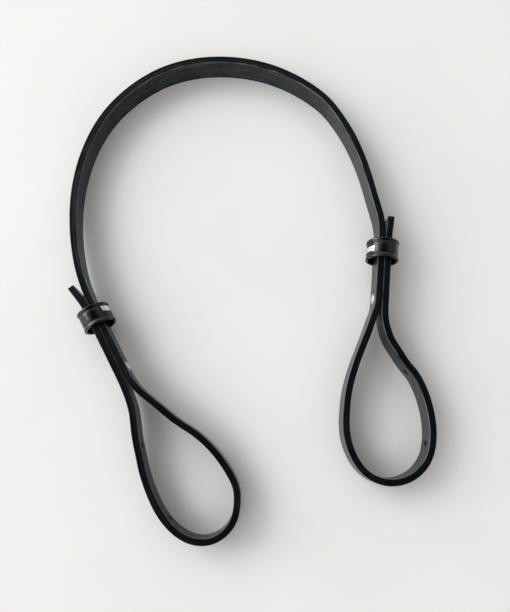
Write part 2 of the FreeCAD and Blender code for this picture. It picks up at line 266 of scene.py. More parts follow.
def strap_path():
    """The whole middle line, from the left tail's end to the right tail's end."""
    down, up = LEFT_KEEPER[2], LEFT_KEEPER[2] + 180
    fall, rise = RIGHT_KEEPER[2], RIGHT_KEEPER[2] + 180
    stops = [
        (on_keeper_axis(LEFT_KEEPER, 0, -STRAND_OFFSET), down),
        (on_keeper_axis(LEFT_KEEPER, LEFT_TAIL_RUN, -STRAND_OFFSET), down),
        *[(complex(x, y), heading) for x, y, heading in LEFT_LOOP],
        (on_keeper_axis(LEFT_KEEPER, LEFT_ARCH_RUN, STRAND_OFFSET), up),
        (on_keeper_axis(LEFT_KEEPER, -KEEPER_TO_ARCH, STRAND_OFFSET), up),
        *[(complex(x, y), heading) for x, y, heading in ARCH],
        (on_keeper_axis(RIGHT_KEEPER, -KEEPER_TO_ARCH, -STRAND_OFFSET), fall),
        (on_keeper_axis(RIGHT_KEEPER, RIGHT_ARCH_RUN, -STRAND_OFFSET), fall),
        *[(complex(x, y), heading) for x, y, heading in RIGHT_LOOP],
        (on_keeper_axis(RIGHT_KEEPER, RIGHT_TAIL_RUN, STRAND_OFFSET), rise),
        (on_keeper_axis(RIGHT_KEEPER, 0, STRAND_OFFSET), rise),
    ]
    path = reverse(tail_elements(LEFT_KEEPER, -STRAND_OFFSET, LEFT_TAIL))
    for first, second in zip(stops, stops[1:]):
        path += biarc(first, second)
    return path + tail_elements(RIGHT_KEEPER, STRAND_OFFSET, RIGHT_TAIL)


def lift_at(point):
    """Height of the strap's lower edge above the table at a plan point."""
    across = on_keeper_axis(RIGHT_KEEPER, 0) - on_keeper_axis(LEFT_KEEPER, 0)
    reach = dot(across / abs(across) * 1j, point - on_keeper_axis(LEFT_KEEPER, 0))
    level, run = (LEVEL_ARCH_SIDE, RAMP_ARCH_SIDE) if reach > 0 else (LEVEL_LOOP_SIDE, RAMP_LOOP_SIDE)
    past = min(max(abs(reach) - level, 0), run)
    radius = (run * run + LIFT * LIFT) / (4 * LIFT)
    if past <= run / 2:
        return LIFT - radius + math.sqrt(radius * radius - past * past)
    return radius - math.sqrt(radius * radius - (run - past) ** 2)


STRAP = strap_path()
STRAP_LENGTH = sum(element[3] for element in STRAP)
LEFT_TAIL_LENGTH = sum(element[3] for element in tail_elements(LEFT_KEEPER, 0, LEFT_TAIL))
RIGHT_TAIL_LENGTH = sum(element[3] for element in tail_elements(RIGHT_KEEPER, 0, RIGHT_TAIL))

# The frame's own joints say where the plan lies: the left stud's middle is known in both
JOINTS = {joint["name"]: joint for joint in frame["joints"]}
STUD_PLACE = Vector(JOINTS["stud_left_turn"]["pos_m"]) / MM
PLAN_SHIFT = complex(STUD_PLACE.x, STUD_PLACE.y) - on_keeper_axis(LEFT_KEEPER, LEFT_STUD_AT)


def place(point, height):
    """A plan point as a place in the frame, in metres."""
    moved = point + PLAN_SHIFT
    return Vector((moved.real, moved.imag, height)) * MM


def box_middle(*nodes):
    corners = [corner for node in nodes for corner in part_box(node)]
    low = Vector([min(corner[axis] for corner in corners) for axis in range(3)])
    high = Vector([max(corner[axis] for corner in corners) for axis in range(3)])
    return (low + high) / 2


# ---------------------------------------------------------------- node helpers

def put(tree, kind, sockets=None, **settings):
    """Add a node. A socket's value is a plain value or another node's output. Returns its outputs."""
    made = tree.nodes.new(kind)
    for name, value in settings.items():
        setattr(made, name, value)
    for name, value in (sockets or {}).items():
        if isinstance(value, bpy.types.NodeSocket):
            tree.links.new(value, made.inputs[name])
        else:
            made.inputs[name].default_value = value
    return made.outputs


def sums(tree, operation, one, other=0.5, third=0.5):
    """A Math node's output."""
    return put(tree, "ShaderNodeMath", {0: one, 1: other, 2: third}, operation=operation)[0]


def fade(tree, value, start, end, low=0.0, high=1.0):
    """Smooth step of a value from low at start to high at end."""
    sockets = {"Value": value, "From Min": start, "From Max": end, "To Min": low, "To Max": high}
    return put(tree, "ShaderNodeMapRange", sockets, interpolation_type="SMOOTHSTEP")["Result"]


def blend_colours(tree, share, one, other):
    """From colour one at share 0 to the other at share 1."""
    sockets = {"Factor": share, 6: one, 7: other}
    return put(tree, "ShaderNodeMix", sockets, data_type="RGBA")[2]


def new_group(name, kind, inputs, outputs):
    """A node group with named sockets: inputs (name, socket type, default), outputs (name, socket type)."""
    group = bpy.data.node_groups.new(name, kind)
    for label, socket_type, default in inputs:
        socket = group.interface.new_socket(label, in_out="INPUT", socket_type=socket_type)
        if default is not None:
            socket.default_value = default
    for label, socket_type in outputs:
        group.interface.new_socket(label, in_out="OUTPUT", socket_type=socket_type)
    return group, group.nodes.new("NodeGroupInput").outputs, group.nodes.new("NodeGroupOutput").inputs


def use_group(tree, group, sockets):
    return put(tree, "ShaderNodeGroup", sockets, node_tree=group)


# ---------------------------------------------------------------- swept leather and strip metal

def sweep_tree():
    """Sweeps a section along a line, keeps the line's coordinates on it and gives it a slight waviness."""
    group, given, out = new_group("sweep_section", "GeometryNodeTree", [
        ("Geometry", "NodeSocketGeometry", None),
        ("Section", "NodeSocketObject", None),
        ("Waviness", "NodeSocketFloat", 0.0),
        ("Waves Per Metre", "NodeSocketFloat", 60.0),
        ("Seed", "NodeSocketFloat", 1.0),
        ("Material", "NodeSocketMaterial", None),
    ], [("Geometry", "NodeSocketGeometry")])

    def keep(geometry, name, value, kind, domain):
        sockets = {"Geometry": geometry, "Name": name, "Value": value}
        return put(group, "GeometryNodeStoreNamedAttribute", sockets, data_type=kind, domain=domain)[0]

    def recall(name, kind):
        return put(group, "GeometryNodeInputNamedAttribute", {"Name": name}, data_type=kind)[0]

    section = put(group, "GeometryNodeObjectInfo", {"Object": given["Section"]})["Geometry"]
    position = put(group, "GeometryNodeInputPosition")[0]
    section = keep(section, "section_place", position, "FLOAT_VECTOR", "POINT")
    line = put(group, "GeometryNodeSetCurveNormal", {"Curve": given["Geometry"]}, mode="Z_UP")[0]
    run = put(group, "GeometryNodeSplineParameter")["Length"]
    line = keep(line, "run", run, "FLOAT", "POINT")
    radius = put(group, "GeometryNodeInputRadius")[0]
    sockets = {"Curve": line, "Profile Curve": section, "Scale": radius, "Fill Caps": True}
    swept = put(group, "GeometryNodeCurveToMesh", sockets)[0]
    across = put(group, "ShaderNodeSeparateXYZ", {0: recall("section_place", "FLOAT_VECTOR")})
    lined = put(group, "ShaderNodeCombineXYZ", {0: recall("run", "FLOAT"), 1: across[1], 2: across[0]})[0]
    slow = put(group, "ShaderNodeTexNoise", {
        "Vector": lined, "W": given["Seed"], "Scale": given["Waves Per Metre"], "Detail": 1.0,
    }, noise_dimensions="4D")["Fac"]
    swell = sums(group, "MULTIPLY", sums(group, "SUBTRACT", slow, 0.5), given["Waviness"])
    normal = put(group, "GeometryNodeInputNormal")[0]
    offset = put(group, "ShaderNodeVectorMath", {0: normal, "Scale": swell}, operation="SCALE")[0]
    swept = put(group, "GeometryNodeSetPosition", {"Geometry": swept, "Offset": offset})[0]
    swept = keep(swept, "leather_map", lined, "FLOAT_VECTOR", "CORNER")
    for name in ("run", "section_place"):
        swept = put(group, "GeometryNodeRemoveAttribute", {"Geometry": swept, "Name": name})[0]
    swept = put(group, "GeometryNodeSetShadeSmooth", {"Geometry": swept, "Shade Smooth": True})[0]
    real = put(group, "GeometryNodeRealizeInstances", {"Geometry": swept})[0]
    painted = put(group, "GeometryNodeSetMaterial", {"Geometry": real, "Material": given["Material"]})[0]
    group.links.new(painted, out["Geometry"])
    return group


def line_object(name, points, closed=False, radii=None):
    """A straight-segment curve through points that are already in metres."""
    curve = bpy.data.curves.new(name, "CURVE")
    curve.dimensions = "3D"
    spline = curve.splines.new("POLY")
    spline.points.add(len(points) - 1)
    for index, point in enumerate(points):
        spline.points[index].co = (*point, 1.0)
        spline.points[index].radius = radii[index] if radii else 1.0
    spline.use_cyclic_u = closed
    made = bpy.data.objects.new(name, curve)
    bpy.context.scene.collection.objects.link(made)
    return made


def sweep(name, line, section, material, waviness=0.0, waves=60.0, seed=1.0, cutter=None):
    """Sweep a section along a line into a plain mesh, less the cutter if there is one."""
    modifier = line.modifiers.new("sweep", "NODES")
    modifier.node_group = SWEEP
    values = {"Section": section, "Waviness": waviness * MM, "Waves Per Metre": waves,
              "Seed": seed, "Material": material}
    for item in SWEEP.interface.items_tree:
        if item.in_out == "INPUT" and item.name in values:
            modifier[item.identifier] = values[item.name]
    made = bpy.data.objects.new(name, as_mesh(line, name))
    bpy.context.scene.collection.objects.link(made)
    bpy.data.objects.remove(line)
    bpy.data.objects.remove(section)
    outwards(made.data)
    if cutter is not None:
        cut(made, cutter)
    finish_mesh(made.data, material)
    return made


def as_mesh(source, name):
    state = bpy.context.evaluated_depsgraph_get()
    mesh = bpy.data.meshes.new_from_object(source.evaluated_get(state), preserve_all_data_layers=True,
                                           depsgraph=state)
    mesh.name = name
    return mesh


def cut(piece, cutter):
    """Take the cutter out of the piece, whose mesh is replaced by the result."""
    boolean = piece.modifiers.new("cut", "BOOLEAN")
    boolean.operation = "DIFFERENCE"
    boolean.solver = "MANIFOLD"
    boolean.object = cutter
    mesh = as_mesh(piece, piece.name)
    piece.modifiers.remove(boolean)
    piece.data = mesh


def mesh_from(shape, name):
    """A new mesh from a bmesh, which is freed."""
    mesh = bpy.data.meshes.new(name)
    shape.to_mesh(mesh)
    shape.free()
    return mesh


def outwards(mesh):
    """Merge doubles and turn every face of a closed mesh outwards."""
    shape = bmesh.new()
    shape.from_mesh(mesh)
    bmesh.ops.remove_doubles(shape, verts=shape.verts, dist=1e-7)
    bmesh.ops.recalc_face_normals(shape, faces=shape.faces)
    shape.to_mesh(mesh)
    shape.free()


def finish_mesh(mesh, material, sharp=33):
    """Smooth shading with real corners kept sharp, and one material."""
    mesh.materials.clear()
    mesh.materials.append(material)
    for polygon in mesh.polygons:
        polygon.use_smooth = True
        polygon.material_index = 0
    mesh.set_sharp_from_angle(angle=math.radians(sharp))


def corner(centre, radius, start, end, steps):
    """Points of a rounded corner, from start to end degrees."""
    angles = [math.radians(start + (end - start) * step / steps) for step in range(steps + 1)]
    return [(centre[0] + radius * math.cos(a), centre[1] + radius * math.sin(a)) for a in angles]


def groove(face, middle, half, depth, steps=8):
    """Points of a pressed crease in a face at x = face, travelling towards +y."""
    points = []
    for step in range(steps + 1):
        share = 2 * step / steps - 1
        points.append((face - depth * (0.5 + 0.5 * math.cos(math.pi * share)), middle + share * half))
    return points


def section_object(name, points):
    return line_object(name, [(x * MM, y * MM, 0.0) for x, y in points], closed=True)


def ply_section(side):
    """One leather of the strap, glue line at x = 0; side is +1 for the right of the line, -1 for the left."""
    half = STRAP_WIDTH / 2
    flat = 0.1                          # keeps the edge level up to its rounded corner
    points = [(0.0, -half / 2)]
    points += corner((GLUE_CORNER, -half + GLUE_CORNER), GLUE_CORNER, 180, 270, 3)
    points += [(LEATHER - BURNISH - flat, -half)]
    points += corner((LEATHER - BURNISH, -half + BURNISH), BURNISH, 270, 360, 7)
    points += [(LEATHER, share * half) for share in (-0.9, -0.75, -0.5, -0.25, 0, 0.25, 0.5, 0.75, 0.9)]
    points += corner((LEATHER - BURNISH, half - BURNISH), BURNISH, 0, 90, 7)
    points += [(LEATHER - BURNISH - flat, half)]
    points += corner((GLUE_CORNER, half - GLUE_CORNER), GLUE_CORNER, 90, 180, 3)
    points += [(0.0, half / 2)]
    return section_object("ply_section", [(side * x, y) for x, y in points])


def strap_line():
    """The strap's middle line in the frame, eased, with a few close points at each end to round the cut."""
    count = round(STRAP_LENGTH / STRAP_STEP)
    plan = [station(STRAP, STRAP_LENGTH * index / count)[0] for index in range(count + 1)]
    for _ in range(EASING_PASSES):
        inner = [(a + 2 * b + c) / 4 for a, b, c in zip(plan, plan[1:], plan[2:])]
        plan = [plan[0], *inner, plan[-1]]
    rounding = [(0.0, 0.93), (0.04, 0.962), (0.12, 0.985), (0.28, 1.0)]
    start, start_heading = station(STRAP, 0)
    end, end_heading = station(STRAP, STRAP_LENGTH)
    first = [start + direction(start_heading) * step for step, _ in rounding]
    last = [end - direction(end_heading) * step for step, _ in reversed(rounding)]
    radii = [radius for _, radius in rounding]
    plan = first + plan[1:-1] + last
    radii = radii + [1.0] * (count - 1) + radii[::-1]
    points = [place(point, lift_at(point) + STRAP_WIDTH / 2) for point in plan]
    return line_object("strap_line", points, radii=radii)


# ---------------------------------------------------------------- turned metal

def lathe(profile, steps=72):
    """Closed mesh turned about +Z from (radius, height) points that begin and end on the axis."""
    shape = bmesh.new()
    rings = []
    for radius, height in profile:
        if radius == 0:
            rings.append([shape.verts.new((0, 0, height * MM))])
            continue
        ring = []
        for step in range(steps):
            angle = 2 * math.pi * step / steps
            spot = Vector((radius * math.cos(angle), radius * math.sin(angle), height)) * MM
            ring.append(shape.verts.new(spot))
        rings.append(ring)
    for one, other in zip(rings, rings[1:]):
        for step in range(steps):
            after = (step + 1) % steps
            near = [one[step % len(one)], one[after % len(one)]]
            far = [other[after % len(other)], other[step % len(other)]]
            shape.faces.new(list(dict.fromkeys(near + far)))
    bmesh.ops.recalc_face_normals(shape, faces=shape.faces)
    return mesh_from(shape, "turned")


def head_profile(radius, height, rim):
    """Dome from the axis down to a rounded rim, ending under the head just inside the rim."""
    rise = height - rim
    ball = (radius * radius + rise * rise) / (2 * rise)
    points = []
    steps = 12
    for step in range(steps + 1):
        r = (radius - 0.05) * math.sin(math.pi / 2 * step / steps)
        points.append((r, height - ball + math.sqrt(ball * ball - r * r)))
    points += [(radius - 0.01, rim - 0.02), (radius, rim / 2), (radius - 0.01, 0.03), (radius - 0.04, 0.0)]
    return points


def with_shank(radius, height, rim, shank_r, shank_end):
    """A head with a solid shank under it."""
    under_head = 0.6 * radius           # a ring halfway in, so that the underside shades flat
    shank = [(under_head, 0.0), (shank_r, 0), (shank_r, shank_end), (0, shank_end)]
    return head_profile(radius, height, rim) + shank


def frame_of(out, along, origin):
    """Matrix that takes local +X to out, +Z to along and the local origin to a place."""
    third = along.cross(out)
    matrix = Matrix((out, third, along)).transposed().to_4x4()
    matrix.translation = origin
    return matrix


def link(name, mesh):
    made = bpy.data.objects.new(name, mesh)
    bpy.context.scene.collection.objects.link(made)
    return made


def drill_object(places):
    """Spool-shaped cutters, so that each hole's rims are eased. places are (middle, axis, radius, reach)."""
    shape = bmesh.new()
    ease = HOLE_EASE
    for middle, axis, radius, reach in places:
        flare = []
        for step in range(5):
            angle = math.pi / 2 * step / 4
            flare.append((radius + ease - ease * math.sin(angle), LEATHER - ease + ease * math.cos(angle)))
        upper = [(0, reach), (radius + ease, reach), *flare]
        mesh = lathe(upper + [(r, -h) for r, h in reversed(upper)], 40)
        mesh.transform(frame_of(Vector((0, 0, 1)), axis, middle))
        shape.from_mesh(mesh)
        bpy.data.meshes.remove(mesh)
    return link("drill", mesh_from(shape, "drill"))


def hole_places():
    """Middle, axis, radius and drill reach of every hole through the strap."""
    clear = LEATHER + 0.8
    touching = LEATHER + 0.04           # where two strands lie against each other
    left_stud = LEFT_TAIL_LENGTH + LEFT_STUD_AT
    right_stud = STRAP_LENGTH - RIGHT_TAIL_LENGTH - RIGHT_STUD_AT
    spots = [(STRAP_LENGTH - RIVET_FROM_END, HOLE_R), (RIVET_FROM_END, RIVET_SHANK_R + CLEARANCE)]
    for step in (1, 2):
        spots += [(left_stud + step * HOLE_PITCH, HOLE_R), (right_stud - step * HOLE_PITCH, HOLE_R)]
    places = []
    for along, radius in spots:
        point, heading = station(STRAP, along)
        places.append((point, left_of(heading), radius, clear))
    for keeper, along in ((LEFT_KEEPER, LEFT_STUD_AT), (RIGHT_KEEPER, RIGHT_STUD_AT)):
        for side in (-STRAND_OFFSET, STRAND_OFFSET):
            hole = (on_keeper_axis(keeper, along, side), left_of(keeper[2]), BARREL_R + CLEARANCE, touching)
            places.append(hole)
    result = []
    for point, across, radius, reach in places:
        middle = place(point, lift_at(point) + STRAP_WIDTH / 2)
        result.append((middle, Vector((across.real, across.imag, 0)), radius, reach))
    return result


# ---------------------------------------------------------------- material groups

def leather_grain_group():
    """Fine closed grain with soft creasing between the cells and shallow marks along the strap."""
    group, given, out = new_group("leather_grain", "ShaderNodeTree", [
        ("Coordinates", "NodeSocketVector", None),
        ("Cells Per Metre", "NodeSocketFloat", 3200.0),
        ("Marks", "NodeSocketFloat", 0.5),
    ], [("Height", "NodeSocketFloat"), ("Tone", "NodeSocketFloat")])
    where = given["Coordinates"]
    warp = put(group, "ShaderNodeTexNoise", {"Vector": where, "Scale": 900.0, "Detail": 2.0})["Color"]
    shift = put(group, "ShaderNodeVectorMath", {0: warp, "Scale": 0.0005}, operation="SCALE")[0]
    bent = put(group, "ShaderNodeVectorMath", {0: where, 1: shift}, operation="ADD")[0]
    cells = put(group, "ShaderNodeTexVoronoi", {"Vector": bent, "Scale": given["Cells Per Metre"]},
                feature="DISTANCE_TO_EDGE")["Distance"]
    pebble = fade(group, cells, 0.0, 0.32)
    fine = put(group, "ShaderNodeTexNoise", {"Vector": where, "Scale": 9000.0, "Detail": 3.0})["Fac"]
    drawn = put(group, "ShaderNodeMapping", {"Vector": where, "Scale": (0.045, 1.0, 1.0)})[0]
    streak = put(group, "ShaderNodeTexNoise", {
        "Vector": drawn, "Scale": 1700.0, "Detail": 4.0, "Roughness": 0.62,
    })["Fac"]
    marks = sums(group, "MULTIPLY", fade(group, streak, 0.36, 0.74), given["Marks"])
    height = sums(group, "MULTIPLY_ADD", pebble, 0.6, sums(group, "MULTIPLY", fine, 0.25))
    group.links.new(sums(group, "ADD", height, sums(group, "MULTIPLY", marks, 0.5)), out["Height"])
    broad = put(group, "ShaderNodeTexNoise", {"Vector": where, "Scale": 130.0, "Detail": 4.0})["Fac"]
    cloudy = sums(group, "MULTIPLY", fade(group, broad, 0.3, 0.7), 0.22)
    tone = sums(group, "MULTIPLY_ADD", marks, 0.78, cloudy)
    group.links.new(tone, out["Tone"])
    return group


def strap_masks_group():
    """Where the edge paint, a painted highlight along its corners and a painted shade along the lower edge
    lie, from the strap's own coordinates.
    """
    group, given, out = new_group("strap_masks", "ShaderNodeTree", [
        ("Coordinates", "NodeSocketVector", None),
        ("Half Width", "NodeSocketFloat", STRAP_WIDTH / 2 * MM),
        ("Corner", "NodeSocketFloat", BURNISH * MM),
        ("Foot Height", "NodeSocketFloat", FOOT_SHADE * MM),
    ], [("Edge", "NodeSocketFloat"), ("Foot", "NodeSocketFloat"), ("Corner Wear", "NodeSocketFloat")])
    apart = put(group, "ShaderNodeSeparateXYZ", {0: given["Coordinates"]})
    up = sums(group, "ABSOLUTE", apart[1])
    inset = sums(group, "SUBTRACT", given["Half Width"], up)
    group.links.new(fade(group, inset, sums(group, "MULTIPLY", given["Corner"], 1.15),
                         sums(group, "MULTIPLY", given["Corner"], 0.75)), out["Edge"])
    # painted shade: a dark band along the lower edge, where the strap stands on the table
    above = sums(group, "SUBTRACT", given["Half Width"], apart[1])      # the section's y points down
    group.links.new(fade(group, above, given["Foot Height"],
                         sums(group, "MULTIPLY", given["Foot Height"], 0.6)), out["Foot"])
    # painted highlight: a lighter line in patches along the burnished corners between edge and face
    off_corner = sums(group, "ABSOLUTE", sums(group, "SUBTRACT", inset, given["Corner"]))
    near = fade(group, off_corner, sums(group, "MULTIPLY", given["Corner"], 0.9),
                sums(group, "MULTIPLY", given["Corner"], 0.35))
    patches = put(group, "ShaderNodeTexNoise", {
        "Vector": given["Coordinates"], "Scale": 110.0, "Detail": 5.0, "Roughness": 0.65,
    })["Fac"]
    group.links.new(sums(group, "MULTIPLY", near, fade(group, patches, 0.3, 0.62)), out["Corner Wear"])
    return group


def dust_group():
    """Sparse fine specks, for anything that has been handled."""
    group, given, out = new_group("fine_dust", "ShaderNodeTree", [
        ("Coordinates", "NodeSocketVector", None),
        ("Specks Per Metre", "NodeSocketFloat", 900.0),
        ("Share", "NodeSocketFloat", 0.1),
    ], [("Dust", "NodeSocketFloat")])
    cells = put(group, "ShaderNodeTexVoronoi", {
        "Vector": given["Coordinates"], "Scale": given["Specks Per Metre"],
    })
    speck = fade(group, cells["Distance"], 0.16, 0.05)
    pick = put(group, "ShaderNodeSeparateColor", {0: cells["Color"]})[0]
    few = sums(group, "LESS_THAN", pick, given["Share"])
    group.links.new(sums(group, "MULTIPLY", speck, few), out["Dust"])
    return group


def scratches_group():
    """Fine hairline scratches and a cloudy polish, for plated metal."""
    group, given, out = new_group("hairlines", "ShaderNodeTree", [
        ("Coordinates", "NodeSocketVector", None),
        ("Lines Per Metre", "NodeSocketFloat", 5000.0),
    ], [("Height", "NodeSocketFloat"), ("Cloud", "NodeSocketFloat")])
    drawn = put(group, "ShaderNodeMapping", {"Vector": given["Coordinates"], "Scale": (0.08, 1.0, 1.0)})[0]
    lines = put(group, "ShaderNodeTexNoise", {
        "Vector": drawn, "Scale": given["Lines Per Metre"], "Detail": 4.0, "Roughness": 0.7,
    })["Fac"]
    group.links.new(lines, out["Height"])
    cloud = put(group, "ShaderNodeTexNoise", {
        "Vector": given["Coordinates"], "Scale": 1400.0, "Detail": 3.0,
    })["Fac"]
    group.links.new(fade(group, cloud, 0.3, 0.75), out["Cloud"])
    return group


SWEEP = sweep_tree()
GRAIN = leather_grain_group()
MASKS = strap_masks_group()
DUST = dust_group()
HAIRLINES = scratches_group()


# ---------------------------------------------------------------- materials

def new_material(name):
    material = bpy.data.materials.new(name)
    material.use_nodes = True
    tree = material.node_tree
    tree.nodes.clear()
    shader = tree.nodes.new("ShaderNodeBsdfPrincipled")
    output = tree.nodes.new("ShaderNodeOutputMaterial")
    tree.links.new(shader.outputs[0], output.inputs["Surface"])
    return material, tree, shader


def bump(tree, height, distance, strength):
    sockets = {"Height": height, "Distance": distance, "Strength": strength}
    return put(tree, "ShaderNodeBump", sockets)["Normal"]


def leather_coordinates(tree):
    """Along the leather, across it and through it, in metres."""
    return put(tree, "ShaderNodeAttribute", attribute_type="GEOMETRY", attribute_name="leather_map")["Vector"]


def strap_leather(name, dark, light):
    """Black waxed strap leather: grain and drawn marks on the face, dense black paint on the edges, a painted
    highlight along the corners and a painted shade along the lower edge.
    """
    material, tree, shader = new_material(name)
    where = leather_coordinates(tree)
    grain = use_group(tree, GRAIN, {"Coordinates": where, "Cells Per Metre": 3000.0, "Marks": 1.0})
    masks = use_group(tree, MASKS, {"Coordinates": where})
    dust = use_group(tree, DUST, {"Coordinates": where, "Specks Per Metre": 420.0, "Share": 0.035})["Dust"]
    face = blend_colours(tree, grain["Tone"], dark, light)
    # edge paint, together with the painted shade along the lower edge
    edge_paint_and_foot_shade = sums(tree, "MAXIMUM", masks["Edge"], masks["Foot"])
    colour = blend_colours(tree, edge_paint_and_foot_shade, face, EDGE_PAINT)
    # painted highlight on the corners, kept off the painted shade along the lower edge
    off_foot_shade = sums(tree, "MULTIPLY_ADD", masks["Foot"], -0.85, 0.85)
    corner_highlight = sums(tree, "MULTIPLY", masks["Corner Wear"], off_foot_shade)
    colour = blend_colours(tree, corner_highlight, colour, PAINTED_CORNER_HIGHLIGHT)
    colour = blend_colours(tree, sums(tree, "MULTIPLY", dust, 0.5), colour, DUST_ON_STRAP)
    tree.links.new(colour, shader.inputs["Base Color"])
    rough = fade(tree, grain["Tone"], 0.0, 1.0, 0.22, 0.46)
    rough = sums(tree, "MULTIPLY_ADD", masks["Edge"], 0.12, rough)
    rough = sums(tree, "MULTIPLY_ADD", dust, 0.3, rough)
    tree.links.new(rough, shader.inputs["Roughness"])
    soft = sums(tree, "MULTIPLY", grain["Height"], sums(tree, "MULTIPLY_ADD", masks["Edge"], -0.75, 1.0))
    tree.links.new(bump(tree, soft, 0.00007, 0.6), shader.inputs["Normal"])
    shine = fade(tree, grain["Tone"], 0.1, 0.8, 0.28, 0.66)
    # less shine under the edge paint and under the painted shade along the lower edge
    shine = sums(tree, "MULTIPLY", shine, sums(tree, "MULTIPLY_ADD", edge_paint_and_foot_shade, -0.66, 1.0))
    tree.links.new(shine, shader.inputs["Specular IOR Level"])
    shader.inputs["Specular Tint"].default_value = (0.80, 0.91, 1.0, 1)
    shader.inputs["IOR"].default_value = 1.45
    return material


def keeper_leather():
    """Polished black keeper leather, glossier than the strap, a little dull in the creases."""
    material, tree, shader = new_material("polished_keeper_leather")
    where = leather_coordinates(tree)
    grain = use_group(tree, GRAIN, {"Coordinates": where, "Cells Per Metre": 3600.0, "Marks": 0.35})
    dust = use_group(tree, DUST, {"Coordinates": where, "Specks Per Metre": 500.0, "Share": 0.03})["Dust"]
    apart = put(tree, "ShaderNodeSeparateXYZ", {0: where})
    lip = (KEEPER_LENGTH / 2 - LIP_WIDTH) * MM
    off_crease = sums(tree, "ABSOLUTE", sums(tree, "SUBTRACT", sums(tree, "ABSOLUTE", apart[1]), lip))
    crease = fade(tree, off_crease, LIP_CREASE_HALF * 1.3 * MM, 0.0)
    colour = blend_colours(tree, grain["Tone"], *KEEPER_COLOURS)
    colour = blend_colours(tree, sums(tree, "MULTIPLY", dust, 0.4), colour, DUST_ON_KEEPER)
    tree.links.new(colour, shader.inputs["Base Color"])
    rough = fade(tree, grain["Tone"], 0.0, 1.0, 0.08, 0.2)
    rough = sums(tree, "MULTIPLY_ADD", crease, 0.2, rough)
    tree.links.new(rough, shader.inputs["Roughness"])
    tree.links.new(bump(tree, grain["Height"], 0.00002, 0.25), shader.inputs["Normal"])
    shader.inputs["Specular IOR Level"].default_value = 0.4
    shader.inputs["IOR"].default_value = 1.52
    return material


def bright_nickel():
    """Bright nickel plate with hairlines and a slightly cloudy polish."""
    material, tree, shader = new_material("bright_nickel_plate")
    where = put(tree, "ShaderNodeTexCoord")["Object"]
    lines = use_group(tree, HAIRLINES, {"Coordinates": where, "Lines Per Metre": 6000.0})
    dust = use_group(tree, DUST, {"Coordinates": where, "Specks Per Metre": 1500.0, "Share": 0.06})["Dust"]
    colour = blend_colours(tree, lines["Cloud"], *NICKEL_COLOURS)
    colour = blend_colours(tree, sums(tree, "MULTIPLY", dust, 0.6), colour, DUST_ON_METAL)
    tree.links.new(colour, shader.inputs["Base Color"])
    tree.links.new(fade(tree, lines["Cloud"], 0.0, 1.0, 0.16, 0.3), shader.inputs["Roughness"])
    tree.links.new(bump(tree, lines["Height"], 0.00001, 0.35), shader.inputs["Normal"])
    shader.inputs["Metallic"].default_value = 1.0
    return material


def table_top():
    """Matt pale table top with a barely visible mottle."""
    material, tree, shader = new_material("pale_table_top")
    where = put(tree, "ShaderNodeTexCoord")["Object"]
    mottle = put(tree, "ShaderNodeTexNoise", {"Vector": where, "Scale": 14.0, "Detail": 5.0})["Fac"]
    fine = put(tree, "ShaderNodeTexNoise", {"Vector": where, "Scale": 1800.0, "Detail": 3.0})["Fac"]
    colour = blend_colours(tree, fade(tree, mottle, 0.3, 0.7), *TABLE_COLOURS)
    tree.links.new(colour, shader.inputs["Base Color"])
    tree.links.new(bump(tree, fine, 0.00003, 0.3), shader.inputs["Normal"])
    shader.inputs["Roughness"].default_value = 0.6
    return material


FACE = strap_leather("strap_face_black", *STRAP_FACE_COLOURS)
BACK = strap_leather("strap_backing_black", *STRAP_BACKING_COLOURS)
KEEPER = keeper_leather()
NICKEL = bright_nickel()


# ---------------------------------------------------------------- pieces

def add_piece(piece, body, slot, *nodes):
    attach(piece, body)
    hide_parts(*nodes)


def make_strap():
    drill = drill_object(hole_places())
    for name, side, material, seed, slot, node in (
        ("strap_face", 1, FACE, 1.0, "strap_face_leather", "face_leather"),
        ("strap_backing", -1, BACK, 4.0, "strap_backing_leather", "backing_leather"),
    ):
        piece = sweep(name, strap_line(), ply_section(side), material, waviness=0.05, waves=45.0,
                      seed=seed, cutter=drill)
        add_piece(piece, "strap", slot, node)
    bpy.data.objects.remove(drill)


def band_section():
    """Keeper leather across its width: two rolled lips, a crease inside each, a flatter band between."""
    half = KEEPER_LENGTH / 2
    edge = half - LIP_WIDTH
    points = [(0.0, -half / 2)]
    points += corner((LIP_INNER_ROUND, -half + LIP_INNER_ROUND), LIP_INNER_ROUND, 180, 270, 4)
    points += corner((LIP_THICK - LIP_OUTER_ROUND, -half + LIP_OUTER_ROUND), LIP_OUTER_ROUND, 270, 345, 7)
    fall = LIP_WIDTH - 0.8              # width over which the lip thins to the band
    steps = 6
    for step in range(1, steps + 1):
        share = step / steps
        swell = math.sin(math.pi * (0.5 + share / 2))
        rise = (LIP_THICK - BAND_THICK) * swell
        points.append((BAND_THICK + rise, -half + LIP_OUTER_ROUND + share * fall))
    points += groove(BAND_THICK, -edge, LIP_CREASE_HALF, LIP_CREASE_DEEP)
    points += [(BAND_THICK + 0.03, share * (edge - 0.5)) for share in (-1, -0.5, 0)]
    mirrored = [(x, -y) for x, y in reversed(points[:-1])]
    return section_object("band_section", points + mirrored)


def ring_line(radius, start, end, step, inner_leg=0.0):
    """Arc about the origin from start to end degrees, with legs turned in at both ends if asked."""
    count = round((end - start) / step)
    points = []
    if inner_leg:
        turn = STAPLE_TURN_R
        shoulder = math.degrees(turn / radius)
        bend_steps = 5
        for step_in in range(bend_steps + 1):
            angle = math.pi / 2 * (1 - step_in / bend_steps)
            turned_in = start + shoulder * (1 - math.sin(angle))
            points.append((radius - turn + turn * math.cos(angle), turned_in))
        points.insert(0, (radius - turn - inner_leg, start))
        tail = [(r, end - (a - start)) for r, a in reversed(points)]
        flat = end - start - 2 * shoulder
        middle = [(radius, start + shoulder + flat * i / count) for i in range(1, count)]
        polar = points + middle + tail
    else:
        polar = [(radius, start + (end - start) * i / count) for i in range(count + 1)]
    return [Vector((r * math.cos(math.radians(a)), r * math.sin(math.radians(a)), 0)) * MM for r, a in polar]


